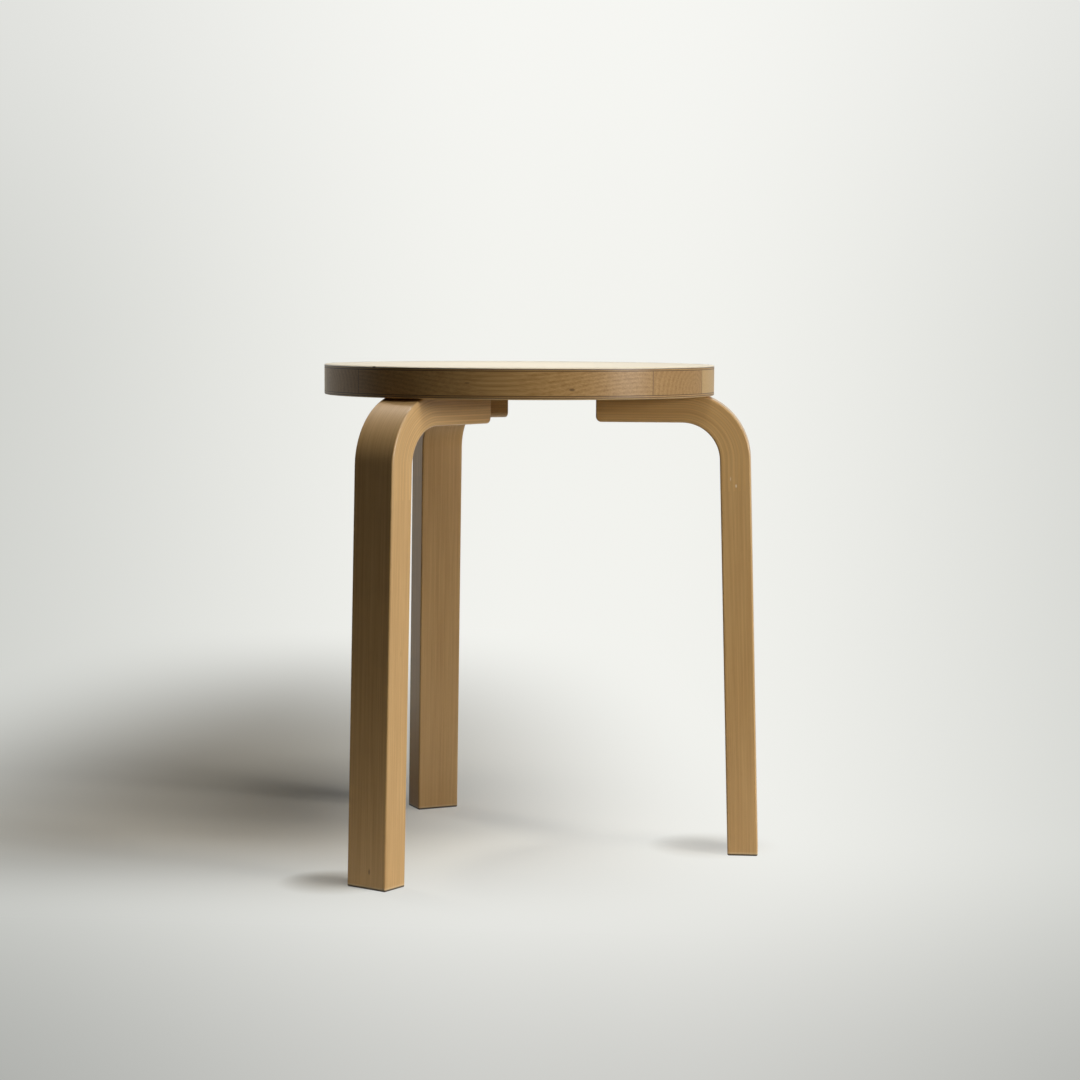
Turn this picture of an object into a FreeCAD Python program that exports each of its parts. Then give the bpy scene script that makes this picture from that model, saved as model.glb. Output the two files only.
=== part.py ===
import FreeCAD, Part
import math
import os

# Three-legged stacking stool in clear-lacquered birch. All lengths are in millimetres.
# The floor is z = 0, and the origin is the middle of the footprint's box.
# A round seat is built up from birch staves between crossbands and face veneers.
# Each leg is one length of solid birch. Its upper end is sawn open along the grain, thin
# slips of veneer are glued into the kerfs, and the whole is bent over into a level arm,
# which is screwed to the underside of the seat.

STOOL_HEIGHT = 440.0

SEAT_DIAMETER = 350.0
SEAT_THICKNESS = 27.0
FACE_VENEER_THICKNESS = 1.5
CROSSBAND_THICKNESS = 1.5
SEAT_EDGE_BEVEL = 1.0
STAVE_WIDTH = 65.0
FIRST_STAVE_JOINT = -121.0

LEG_AZIMUTH_DEGREES = {"right": 0.0, "back": 120.0, "front": 240.0}
LEG_THICKNESS = 27.2
LEG_WIDTH = 41.5
LEG_SPLAY_DEGREES = 1.7
FOOT_REACH = 219.0
FOOT_BEVEL = 1.2
KNEE_INNER_RADIUS = 34.0
ARM_TIP_REACH = 70.6
ARM_TIP_ROUND = 5.0
ARRIS_BEVEL = 1.2
# The bent arm stands this far too high, and its top is planed level where the seat lies on it.
ARM_PLANING = 3.5

SLIP_COUNT = 5
SLIP_THICKNESS = 2.0
# The wood left between two kerfs, and inside the first. Outside the last it is thicker.
TINE_THICKNESS = 2.5
KERF_RUN_BELOW_KNEE = 28.0

SCREW_BITE_IN_SEAT = 13.0
SCREW_HEAD_DIAMETER = 8.8
SCREW_HEAD_HEIGHT = 2.4
SCREW_HEAD_SINK = 0.2
SCREW_SHANK_DIAMETER = 4.4
SCREW_CORE_DIAMETER = 3.2
SCREW_THREAD_LENGTH = 22.0
SCREW_POINT_LENGTH = 4.0
SCREW_POINT_DIAMETER = 0.6
SHANK_HOLE_CLEARANCE = 0.3
PILOT_HOLE_CLEARANCE = 0.1
PILOT_HOLE_SPARE = 1.0
# The screws are staggered along the arm, so that no two share a line of grain.
SCREW_COUNT = 2
FIRST_SCREW_FROM_TIP = 18.0
SCREW_SPACING = 40.0
SCREW_STAGGER = 8.0
# A screw and its holes pass through every layer of the arm, so they are drawn with this many
# flats in place of a round wall, which keeps the model light.
SCREW_FLATS = 8

# How far a cutting tool runs past what it cuts.
TOOL_OVERRUN = 4.0
# Heights that differ by less than this are the same height.
SAME_HEIGHT = 1e-6

SEAT_RADIUS = SEAT_DIAMETER / 2
SEAT_UNDERSIDE = STOOL_HEIGHT - SEAT_THICKNESS
ARM_THICKNESS = LEG_THICKNESS - ARM_PLANING
ARM_UNDERSIDE = SEAT_UNDERSIDE - ARM_THICKNESS
SPLAY = math.radians(LEG_SPLAY_DEGREES)
SCREW_TOP = ARM_THICKNESS + SCREW_BITE_IN_SEAT

# The shank leans out towards the floor. OUTWARD points square out of its outer face, and
# DOWNWARD runs down its length, both in the leg's own plane.
OUTWARD = FreeCAD.Vector(math.cos(SPLAY), 0, math.sin(SPLAY))
DOWNWARD = FreeCAD.Vector(math.sin(SPLAY), 0, -math.cos(SPLAY))

# The bend's centre lies below the arm and inside the shank by the same inner radius.
KNEE_Z = ARM_UNDERSIDE - KNEE_INNER_RADIUS
KNEE_OUTER_RADIUS = KNEE_INNER_RADIUS + LEG_THICKNESS
KNEE_X = FOOT_REACH - (KNEE_OUTER_RADIUS + KNEE_Z * math.sin(SPLAY)) / math.cos(SPLAY)
KNEE_CENTRE = FreeCAD.Vector(KNEE_X, 0, KNEE_Z)

# The right leg reaches furthest along +X. On the other side it is the seat's rim, or the
# corners of the two other feet where they reach further.
BACK_LEG_TURN = math.radians(180 - LEG_AZIMUTH_DEGREES["back"])
OTHER_FEET_REACH = FOOT_REACH * math.cos(BACK_LEG_TURN) + LEG_WIDTH / 2 * math.sin(BACK_LEG_TURN)
SEAT_AXIS_X = (max(SEAT_RADIUS, OTHER_FEET_REACH) - FOOT_REACH) / 2


def point_on_knee(depth, degrees):
    """The point on the bend that lies `depth` from the leg's inner face, `degrees` above level."""
    radius = KNEE_INNER_RADIUS + depth
    angle = math.radians(degrees)
    return KNEE_CENTRE + FreeCAD.Vector(radius * math.cos(angle), 0, radius * math.sin(angle))


def point_on_shank(depth, run):
    """The point `depth` from the leg's inner face, `run` down the shank from the bend's end."""
    return KNEE_CENTRE + OUTWARD * (KNEE_INNER_RADIUS + depth) + DOWNWARD * run


def point_on_foot(depth):
    """The point where the layer `depth` from the leg's inner face meets the floor."""
    start = point_on_shank(depth, 0)
    return start + DOWNWARD * (start.z / math.cos(SPLAY))


def line(start, end):
    """A straight edge."""
    return Part.LineSegment(start, end).toShape()


def arc(start, middle, end):
    """A round edge through three points."""
    return Part.Arc(start, middle, end).toShape()


def knee_arc(depth):
    """The bend's edge at one depth, from the arm to the shank."""
    middle = (90 + LEG_SPLAY_DEGREES) / 2
    return arc(point_on_knee(depth, 90), point_on_knee(depth, middle), point_on_shank(depth, 0))


def prism(edges, width):
    """The solid of a closed outline in the leg's plane, `width` wide and centred on that plane."""
    face = Part.Face(Part.Wire(Part.__sortEdges__(edges)))
    face.translate(FreeCAD.Vector(0, -width / 2, 0))
    return face.extrude(FreeCAD.Vector(0, width, 0))


def leg_envelope():
    """The bent leg as it is when its kerfs are filled, with its arrises and foot finished."""
    tip_low = FreeCAD.Vector(ARM_TIP_REACH, 0, ARM_UNDERSIDE)
    tip_high = FreeCAD.Vector(ARM_TIP_REACH, 0, ARM_UNDERSIDE + LEG_THICKNESS)
    round_start = tip_low + FreeCAD.Vector(ARM_TIP_ROUND, 0, 0)
    round_end = tip_low + FreeCAD.Vector(0, 0, ARM_TIP_ROUND)
    inset = ARM_TIP_ROUND * (1 - math.sqrt(0.5))
    round_middle = tip_low + FreeCAD.Vector(inset, 0, inset)
    outline = [
        line(tip_high, point_on_knee(LEG_THICKNESS, 90)),
        knee_arc(LEG_THICKNESS),
        line(point_on_shank(LEG_THICKNESS, 0), point_on_foot(LEG_THICKNESS)),
        line(point_on_foot(LEG_THICKNESS), point_on_foot(0)),
        line(point_on_foot(0), point_on_shank(0, 0)),
        knee_arc(0),
        line(point_on_knee(0, 90), round_start),
        arc(round_start, round_middle, round_end),
        line(round_end, tip_high),
    ]
    solid = prism(outline, LEG_WIDTH)
    arrises = [edge for edge in solid.Edges if is_arris(edge)]
    solid = solid.makeChamfer(ARRIS_BEVEL, arrises)
    rim = [edge for edge in solid.Edges if edge.BoundBox.ZMax < FOOT_BEVEL / 2]
    solid = solid.makeChamfer(FOOT_BEVEL, rim)
    corner = FreeCAD.Vector(0, -LEG_WIDTH, SEAT_UNDERSIDE)
    return solid.cut(Part.makeBox(FOOT_REACH, 2 * LEG_WIDTH, LEG_THICKNESS, corner))


def is_arris(edge):
    """True for the long edges on the leg's two sides, which its ends leave out."""
    box = edge.BoundBox
    on_one_side = box.YLength < LEG_WIDTH / 2
    return on_one_side and box.ZMax > FOOT_BEVEL


def slip_depths(index):
    """How deep in the leg one slip starts and ends, counted from the leg's inner face."""
    start = TINE_THICKNESS + index * (TINE_THICKNESS + SLIP_THICKNESS)
    return start, start + SLIP_THICKNESS


def kerf_tool(index):
    """The layer of one slip, run out past the arm's tip and past both sides of the leg."""
    near, far = slip_depths(index)
    past_tip = ARM_TIP_REACH - TOOL_OVERRUN
    near_tip = FreeCAD.Vector(past_tip, 0, ARM_UNDERSIDE + near)
    far_tip = FreeCAD.Vector(past_tip, 0, ARM_UNDERSIDE + far)
    outline = [
        line(far_tip, point_on_knee(far, 90)),
        knee_arc(far),
        line(point_on_shank(far, 0), point_on_shank(far, KERF_RUN_BELOW_KNEE)),
        line(point_on_shank(far, KERF_RUN_BELOW_KNEE), point_on_shank(near, KERF_RUN_BELOW_KNEE)),
        line(point_on_shank(near, KERF_RUN_BELOW_KNEE), point_on_shank(near, 0)),
        knee_arc(near),
        line(point_on_knee(near, 90), near_tip),
        line(near_tip, far_tip),
    ]
    return prism(outline, LEG_WIDTH + 2 * TOOL_OVERRUN)


def screw_places():
    """Where the screws enter one arm, in the leg's own frame, at the arm's underside."""
    places = []
    for index in range(SCREW_COUNT):
        along = ARM_TIP_REACH + FIRST_SCREW_FROM_TIP + index * SCREW_SPACING
        across = SCREW_STAGGER if index % 2 == 0 else -SCREW_STAGGER
        places.append(FreeCAD.Vector(along, across, ARM_UNDERSIDE))
    return places


def ring(radius, height):
    """The corners of one level ring of a screw or hole, with flats that lie at `radius`."""
    reach = radius / math.cos(math.pi / SCREW_FLATS)
    turns = [2 * math.pi * index / SCREW_FLATS for index in range(SCREW_FLATS)]
    return [FreeCAD.Vector(reach * math.cos(turn), reach * math.sin(turn), height) for turn in turns]


def flat(corners):
    """The face inside a closed run of corners."""
    return Part.Face(Part.makePolygon(corners + corners[:1]))


def turned(sections):
    """The closed solid through rings of the given (radius, height), from the lowest up."""
    rings = [ring(radius, height) for radius, height in sections]
    faces = [flat(rings[0]), flat(rings[-1])]
    for low, high in zip(rings, rings[1:]):
        for index in range(SCREW_FLATS):
            after = (index + 1) % SCREW_FLATS
            faces.append(flat([low[index], low[after], high[after], high[index]]))
    solid = Part.makeSolid(Part.makeShell(faces))
    if solid.Volume < 0:
        solid.reverse()
    return solid


def screw():
    """One countersunk wood screw, standing on its head at the arm's underside."""
    shank = SCREW_SHANK_DIAMETER / 2
    core = SCREW_CORE_DIAMETER / 2
    thread_start = SCREW_TOP - SCREW_THREAD_LENGTH
    return turned([
        (SCREW_HEAD_DIAMETER / 2, SCREW_HEAD_SINK),
        (shank, SCREW_HEAD_SINK + SCREW_HEAD_HEIGHT),
        (shank, thread_start),
        (core, thread_start + shank - core),
        (core, SCREW_TOP - SCREW_POINT_LENGTH),
        (SCREW_POINT_DIAMETER / 2, SCREW_TOP),
    ])


def arm_hole_tool():
    """The clearance hole through the arm, with the countersink that the head seats in."""
    head = SCREW_HEAD_DIAMETER / 2
    shank = SCREW_SHANK_DIAMETER / 2
    slope = (head - shank) / SCREW_HEAD_HEIGHT
    hole = shank + SHANK_HOLE_CLEARANCE
    cone_end = SCREW_HEAD_SINK + (head - hole) / slope
    return turned([
        (head, -TOOL_OVERRUN),
        (head, SCREW_HEAD_SINK),
        (hole, cone_end),
        (hole, ARM_THICKNESS + TOOL_OVERRUN),
    ])


def pilot_hole_tool():
    """The blind hole in the seat that takes the screw's threaded end."""
    radius = SCREW_CORE_DIAMETER / 2 + PILOT_HOLE_CLEARANCE
    return turned([(radius, ARM_THICKNESS - TOOL_OVERRUN), (radius, SCREW_TOP + PILOT_HOLE_SPARE)])


def at_screws(shape):
    """One copy of a screw or of its hole's tool at each place in one arm."""
    return [shape.translated(place) for place in screw_places()]


def on_leg(shape, azimuth):
    """A shape from the leg's own frame, turned round to its leg and set under the seat."""
    placed = shape.copy()
    placed.rotate(FreeCAD.Vector(0, 0, 0), FreeCAD.Vector(0, 0, 1), azimuth)
    placed.translate(FreeCAD.Vector(SEAT_AXIS_X, 0, 0))
    return placed


def leg_parts():
    """The kerfed leg and its slips in the leg's own frame, drilled for the screws."""
    envelope = leg_envelope()
    holes = at_screws(arm_hole_tool())
    kerfs = [kerf_tool(index) for index in range(SLIP_COUNT)]
    blank = envelope.cut(kerfs).cut(holes)
    slips = [envelope.common(kerf).cut(holes) for kerf in kerfs]
    return blank, slips


def seat_disc(bottom, thickness):
    """One full layer of the seat, from the height `bottom` above the seat's underside."""
    base = FreeCAD.Vector(SEAT_AXIS_X, 0, SEAT_UNDERSIDE + bottom)
    return Part.makeCylinder(SEAT_RADIUS, thickness, base)


def eased_rim(disc, height):
    """A face veneer with its rim bevelled at the given height."""
    rims = [
        edge for edge in disc.Edges
        if abs(edge.BoundBox.ZMax - height) < SAME_HEIGHT and edge.BoundBox.ZLength < SAME_HEIGHT
    ]
    return disc.makeChamfer(SEAT_EDGE_BEVEL, rims)


def seat_staves(core):
    """The core cut at its joints into staves that run along X."""
    joints = [-SEAT_RADIUS - TOOL_OVERRUN]
    joint = FIRST_STAVE_JOINT
    while joint < SEAT_RADIUS:
        joints.append(joint)
        joint += STAVE_WIDTH
    joints.append(SEAT_RADIUS + TOOL_OVERRUN)
    box = core.BoundBox
    staves = []
    for start, end in zip(joints, joints[1:]):
        corner = FreeCAD.Vector(box.XMin - TOOL_OVERRUN, start, box.ZMin)
        length = box.XLength + 2 * TOOL_OVERRUN
        staves.append(core.common(Part.makeBox(length, end - start, box.ZLength, corner)))
    return staves


def seat_parts():
    """The seat's layers by node name, with the screws' pilot holes in the lower ones."""
    skin = FACE_VENEER_THICKNESS + CROSSBAND_THICKNESS
    pilots = []
    for azimuth in LEG_AZIMUTH_DEGREES.values():
        pilots += [on_leg(tool, azimuth) for tool in at_screws(pilot_hole_tool())]
    upper_band = SEAT_THICKNESS - skin
    upper_face = SEAT_THICKNESS - FACE_VENEER_THICKNESS
    lower_veneer = eased_rim(seat_disc(0, FACE_VENEER_THICKNESS), SEAT_UNDERSIDE)
    lower_band = seat_disc(FACE_VENEER_THICKNESS, CROSSBAND_THICKNESS)
    core = seat_disc(skin, SEAT_THICKNESS - 2 * skin)
    parts = {
        "seat_bottom_veneer": lower_veneer.cut(pilots),
        "seat_bottom_crossband": lower_band.cut(pilots),
        "seat_top_crossband": seat_disc(upper_band, CROSSBAND_THICKNESS),
        "seat_top_veneer": eased_rim(seat_disc(upper_face, FACE_VENEER_THICKNESS), STOOL_HEIGHT),
    }
    for number, stave in enumerate(seat_staves(core), start=1):
        parts[f"seat_stave_{number}"] = stave.cut(pilots)
    return parts


def stool_parts():
    """Every piece of the stool by node name."""
    parts = seat_parts()
    blank, slips = leg_parts()
    screws = []
    for side, azimuth in LEG_AZIMUTH_DEGREES.items():
        parts[f"leg_{side}"] = on_leg(blank, azimuth)
        for number, slip in enumerate(slips, start=1):
            parts[f"leg_{side}_slip_{number}"] = on_leg(slip, azimuth)
        screws += [on_leg(one, azimuth) for one in at_screws(screw())]
    parts["arm_screws"] = Part.makeCompound(screws)
    return parts


def main():
    """Build the stool and write one STEP file for each node."""
    os.makedirs("parts", exist_ok=True)
    for name, shape in stool_parts().items():
        shape.exportStep(f"parts/{name}.step")
        print(f"{name}: {len(shape.Solids)} solid, valid {shape.isValid()}, {shape.Volume:.0f} mm3")


main()
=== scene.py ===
"""Dresses the three-legged stacking stool in birch and veneer, and sets it in a pale studio.

Every length is in metres. The layers of the top and the directions of the legs come from the
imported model. A leg is made in the order of the real one: a straight blank is sawn open, slips
fill its kerfs, its arrises are rounded, it is drilled, and the whole is bent over. Each point
keeps the place that it had in the straight blank, so that the grain follows the bend.
"""

import logging
import math
from collections.abc import Callable, Iterator, Sequence
from contextlib import contextmanager
from dataclasses import dataclass, field
from enum import Enum
from typing import ClassVar

import bmesh
import bpy
from mathutils import Matrix, Vector


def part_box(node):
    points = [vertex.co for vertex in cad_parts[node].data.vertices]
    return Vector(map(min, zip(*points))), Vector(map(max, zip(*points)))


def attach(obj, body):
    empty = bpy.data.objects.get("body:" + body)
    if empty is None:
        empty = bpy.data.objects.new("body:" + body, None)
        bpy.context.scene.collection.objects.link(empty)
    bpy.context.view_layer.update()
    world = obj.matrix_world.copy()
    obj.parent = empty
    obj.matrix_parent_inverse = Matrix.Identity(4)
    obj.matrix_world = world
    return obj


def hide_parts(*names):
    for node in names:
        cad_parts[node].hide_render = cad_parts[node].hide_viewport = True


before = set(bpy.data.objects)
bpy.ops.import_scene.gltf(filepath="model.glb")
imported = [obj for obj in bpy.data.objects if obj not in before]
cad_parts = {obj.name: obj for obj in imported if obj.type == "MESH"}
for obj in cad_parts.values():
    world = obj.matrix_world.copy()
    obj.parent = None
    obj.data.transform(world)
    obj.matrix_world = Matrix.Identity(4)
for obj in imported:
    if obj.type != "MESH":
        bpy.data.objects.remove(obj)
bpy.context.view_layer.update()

LOG = logging.getLogger("stool")

BODY = "root"

# The name under which a bent piece keeps the places that its points had before the bend.
BLANK_PLACE = "blank_place"

# Faces and corners that differ by less than this lie in one plane.
SAME_PLACE = 1e-5
SQUARE_TO = 0.999

# Faces that meet at less than this many degrees are shaded as one curve.
WOOD_CURVE = 32.0
TURNED_CURVE = 30.0

Pair = tuple[float, float]
Triple = tuple[float, float, float]
Colour = Triple
Tones = dict[str, Colour]
BLACK: Colour = (0.0, 0.0, 0.0)


class Side(Enum):
    """The three legs, each by its turn round the seat's axis from the right one, in degrees."""

    RIGHT = 0
    BACK = 120
    FRONT = 240

    @property
    def label(self) -> str:
        """The word for this side in the names of pieces and nodes."""
        return self.name.lower()


class Pick(Enum):
    """What a selection in edit mode is made of."""

    EDGES = "EDGE"
    FACES = "FACE"


def math_method(operation: str, wire_last: bool = False) -> Callable[..., "Wire"]:
    """A method of Wire that adds one Math node, fed with the wire and with what it is given.

    Args:
        operation: The Math node's operation.
        wire_last: True for a reflected operator, whose wire is the second input.

    Returns:
        The method.
    """
    def method(self: "Wire", *others: "Wire | float") -> "Wire":
        """The result on self and the others."""
        values = (*others, self) if wire_last else (self, *others)
        return self.sheet.math(operation, *values)

    return method


class Wire:
    """One output socket, on which arithmetic adds Math nodes."""

    def __init__(self, sheet: "Sheet", socket: bpy.types.NodeSocket) -> None:
        """Keep the socket and the sheet that it belongs to."""
        self.sheet = sheet
        self.socket = socket

    __add__ = math_method("ADD")
    __radd__ = math_method("ADD", wire_last=True)
    __sub__ = math_method("SUBTRACT")
    __rsub__ = math_method("SUBTRACT", wire_last=True)
    __mul__ = math_method("MULTIPLY")
    __rmul__ = math_method("MULTIPLY", wire_last=True)
    __truediv__ = math_method("DIVIDE")
    __mod__ = math_method("FLOORED_MODULO")
    __abs__ = math_method("ABSOLUTE")
    low = math_method("MINIMUM")
    high = math_method("MAXIMUM")
    sine = math_method("SINE")

    def rise(self, start: float, end: float) -> "Wire":
        """A smooth step from 0 to 1 as self goes from start to end, which may be the lower.

        Args:
            start: Where the step is 0.
            end: Where it is 1.

        Returns:
            The step.
        """
        settings = {"interpolation_type": "SMOOTHSTEP"}
        low, high = sorted((start, end))
        out = (0.0, 1.0) if start < end else (1.0, 0.0)
        sockets = {0: self, 1: low, 2: high, 3: out[0], 4: out[1]}
        return self.sheet.wire("ShaderNodeMapRange", settings, sockets, "Result")


Feed = Wire | float | Sequence[float]


class Sheet:
    """The node tree of one material or world, with one method for every kind of node."""

    def __init__(self, tree: bpy.types.NodeTree) -> None:
        """Start from an empty tree."""
        self.tree = tree
        tree.nodes.clear()

    def node(
        self,
        kind: str,
        settings: dict[str, object] | None = None,
        sockets: dict[str | int, Feed] | None = None,
    ) -> bpy.types.Node:
        """Add one node.

        Args:
            kind: The node's type.
            settings: Its properties, set before its inputs.
            sockets: The value or the wire for each input, by name or number.

        Returns:
            The new node.
        """
        made = self.tree.nodes.new(kind)
        for name, value in (settings or {}).items():
            setattr(made, name, value)
        for key, value in (sockets or {}).items():
            self._feed(made.inputs[key], value)
        return made

    def wire(
        self,
        kind: str,
        settings: dict[str, object] | None = None,
        sockets: dict[str | int, Feed] | None = None,
        output: str | int = 0,
    ) -> Wire:
        """Add one node, as node does, and return the wire of one of its outputs."""
        return Wire(self, self.node(kind, settings, sockets).outputs[output])

    def math(self, operation: str, *values: Feed) -> Wire:
        """The result of one Math operation on wires or numbers."""
        return self.wire("ShaderNodeMath", {"operation": operation}, dict(enumerate(values)))

    def vector_math(self, operation: str, *values: Feed, output: str = "Vector") -> Wire:
        """The result of one Vector Math operation on wires or vectors."""
        settings = {"operation": operation}
        return self.wire("ShaderNodeVectorMath", settings, dict(enumerate(values)), output)

    def mix(self, factor: Feed, first: Feed, second: Feed, blend: str = "MIX") -> Wire:
        """Two colours mixed by a factor, in the given blend mode."""
        settings = {"data_type": "RGBA", "blend_type": blend, "clamp_factor": True}
        return self.wire("ShaderNodeMix", settings, {0: factor, 6: first, 7: second}, 2)

    def moved(
        self,
        place: Wire,
        shift: Sequence[float] = (0, 0, 0),
        turn: Sequence[float] = (0, 0, 0),
        scale: Sequence[float] = (1, 1, 1),
    ) -> Wire:
        """Coordinates scaled, turned and shifted by a Mapping node."""
        sockets = {"Vector": place, "Location": shift, "Rotation": turn, "Scale": scale}
        return self.wire("ShaderNodeMapping", {"vector_type": "POINT"}, sockets)

    def noise(self, place: Wire, scale: float, detail: float = 2.0, rough: float = 0.5) -> Wire:
        """Soft noise from 0 to 1, with about scale waves to the metre."""
        sockets = {"Vector": place, "Scale": scale, "Detail": detail, "Roughness": rough}
        return self.wire("ShaderNodeTexNoise", None, sockets, "Fac")

    def point(self, kind: str = "Object") -> Wire:
        """Each point's coordinates of one kind."""
        return self.wire("ShaderNodeTexCoord", None, None, kind)

    def bump(self, strength: float, depth: float, height: Wire) -> Wire:
        """The normal of a relief of the given depth in metres, whose height is from 0 to 1."""
        relief = {"Strength": strength, "Distance": depth, "Height": height}
        return self.wire("ShaderNodeBump", None, relief)

    def sides(self, place: Wire) -> tuple[Wire, Wire, Wire]:
        """The three numbers of a vector."""
        split = self.node("ShaderNodeSeparateXYZ", None, {0: place})
        return tuple(Wire(self, socket) for socket in split.outputs)

    def finish(self, surface: Wire) -> None:
        """Add a material's output."""
        self.node("ShaderNodeOutputMaterial", None, {"Surface": surface})

    def _feed(self, socket: bpy.types.NodeSocket, value: Feed) -> None:
        """Link a wire to an input, or set its value.

        Args:
            socket: The input.
            value: What it gets.
        """
        if isinstance(value, Wire):
            self.tree.links.new(value.socket, socket)
        elif socket.type == "RGBA":
            socket.default_value = (*value, 1.0)
        else:
            socket.default_value = value


@dataclass(frozen=True)
class Lacquer:
    """The clear satin lacquer over all the wood."""

    roughness: float = 0.58
    uneven: float = 0.10
    coat: float = 0.8
    coat_roughness: float = 0.28
    base_gloss: float = 0.2
    relief: float = 0.35


@dataclass(frozen=True)
class Mark:
    """A knot, fleck or nick: where it is in the wood's own coordinates, how large, what colour."""

    place: Triple
    reach: Triple
    colour: Colour
    strength: float
    solid_share: float = 0.35

    def over(self, sheet: Sheet, place: Wire, colour: Wire) -> Wire:
        """The colour with this mark laid over it.

        Args:
            sheet: The material's nodes.
            place: The wood's own coordinates.
            colour: The wood's colour.

        Returns:
            The marked colour.
        """
        offset = sheet.vector_math("SUBTRACT", place, self.place)
        share = sheet.vector_math("DIVIDE", offset, self.reach)
        distance = sheet.vector_math("LENGTH", share, output="Value")
        return sheet.mix(distance.rise(1.0, self.solid_share) * self.strength, colour, self.colour)


@dataclass(frozen=True)
class Waves:
    """Noise drawn out along the grain: its waves to the metre, and how much it is drawn out."""

    to_the_metre: float
    along: float
    detail: float = 2.0
    rough: float = 0.5

    def over(self, sheet: Sheet, timber: Wire) -> Wire:
        """The noise from 0 to 1, in the timber's coordinates."""
        drawn_out = sheet.moved(timber, scale=(1, 1, self.along))
        return sheet.noise(drawn_out, self.to_the_metre, self.detail, self.rough)


@dataclass(frozen=True)
class Flecks:
    """Sparse short brown flecks along the grain, as birch has."""

    to_the_metre: float = 95.0
    along: float = 0.16
    chosen: Pair = (0.90, 0.91)
    edge: Pair = (0.075, 0.03)
    colour: Colour = (0.30, 0.16, 0.06)
    strength: float = 0.35

    def over(self, sheet: Sheet, timber: Wire, colour: Wire) -> Wire:
        """The colour with the flecks laid over it.

        Args:
            sheet: The material's nodes.
            timber: The coordinates in the timber.
            colour: The wood's colour.

        Returns:
            The flecked colour.
        """
        drawn_out = sheet.moved(timber, scale=(1, 1, self.along))
        cells = {"Vector": drawn_out, "Scale": self.to_the_metre}
        settings = {"feature": "F1", "distance": "EUCLIDEAN"}
        voronoi = sheet.node("ShaderNodeTexVoronoi", settings, cells)
        distance = Wire(sheet, voronoi.outputs["Distance"])
        chance = sheet.sides(Wire(sheet, voronoi.outputs["Color"]))[0]
        share = distance.rise(*self.edge) * chance.rise(*self.chosen)
        return sheet.mix(share * self.strength, colour, self.colour)


@dataclass(frozen=True)
class Wood:
    """Birch with its grain along the third of its own coordinates.

    The first two coordinates are depth and across. Each piece is cut from its own place in
    the timber, so that no two look alike.
    """

    name: str
    pale: Colour = (0.70, 0.45, 0.19)
    deep: Colour = (0.49, 0.275, 0.095)
    cut_from: Triple = (0.0, 0.0, 0.0)
    pith: Pair = (-0.045, 0.030)
    ring_pitch: float = 0.0026
    ring_share: float = 0.10
    line_share: float = 1.10
    band_share: float = 0.75
    cloud_share: float = 0.40
    vessel_dark: float = 0.12
    marks: tuple[Mark, ...] = ()
    lacquer: Lacquer = Lacquer()

    FLECKS: ClassVar[Flecks] = Flecks()
    WANDER: ClassVar[Waves] = Waves(22.0, 0.15, detail=1.0)
    LINES: ClassVar[Waves] = Waves(1000.0, 0.012, rough=0.6)
    BANDS: ClassVar[Waves] = Waves(380.0, 0.012, detail=3.0, rough=0.55)
    CLOUDS: ClassVar[Waves] = Waves(30.0, 0.10)
    VESSELS: ClassVar[Waves] = Waves(3600.0, 0.03, detail=1.0)
    VESSEL_EDGE: ClassVar[Pair] = (0.60, 0.74)
    RING_WANDER: ClassVar[float] = 3.0
    LINE_RELIEF: ClassVar[float] = 0.5
    BAND_RELIEF: ClassVar[float] = 0.3
    VESSEL_RELIEF: ClassVar[float] = 0.5
    FLAT_HEIGHT: ClassVar[float] = 0.2

    def tone(self, sheet: Sheet, place: Wire) -> tuple[Wire, Wire]:
        """The wood's colour and the height of its grain.

        Args:
            sheet: The material's nodes.
            place: The wood's own coordinates, with the grain along the third.

        Returns:
            The colour and the height from 0 to 1.
        """
        timber = sheet.moved(place, shift=self.cut_from)
        lines = self.LINES.over(sheet, timber)
        bands = self.BANDS.over(sheet, timber)
        clouds = self.CLOUDS.over(sheet, timber)
        rings = self._rings(sheet, place, self.WANDER.over(sheet, timber))
        light = 0.5 + (lines - 0.5) * self.line_share + (bands - 0.5) * self.band_share
        light = light + (clouds - 0.5) * self.cloud_share + rings * self.ring_share * 0.5
        colour = sheet.mix(light, self.deep, self.pale)
        vessels = self.VESSELS.over(sheet, timber).rise(*self.VESSEL_EDGE)
        colour = sheet.mix(vessels * self.vessel_dark, colour, self.deep, "MULTIPLY")
        colour = self.FLECKS.over(sheet, timber, colour)
        for mark in self.marks:
            colour = mark.over(sheet, place, colour)
        height = lines * self.LINE_RELIEF + bands * self.BAND_RELIEF
        height = height - vessels * self.VESSEL_RELIEF + self.FLAT_HEIGHT
        return colour, height

    def _rings(self, sheet: Sheet, place: Wire, wander: Wire) -> Wire:
        """The year rings about the pith, from -1 to 1.

        Args:
            sheet: The material's nodes.
            place: The wood's own coordinates.
            wander: How far the rings wander, from 0 to 1.

        Returns:
            The rings' height.
        """
        depth, across, _ = sheet.sides(place)
        square = sheet.math("POWER", depth - self.pith[0], 2.0)
        square = square + sheet.math("POWER", across - self.pith[1], 2.0)
        radius = sheet.math("SQRT", square) + wander * (self.RING_WANDER * self.ring_pitch)
        return (radius * (2 * math.pi / self.ring_pitch)).sine()


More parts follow.
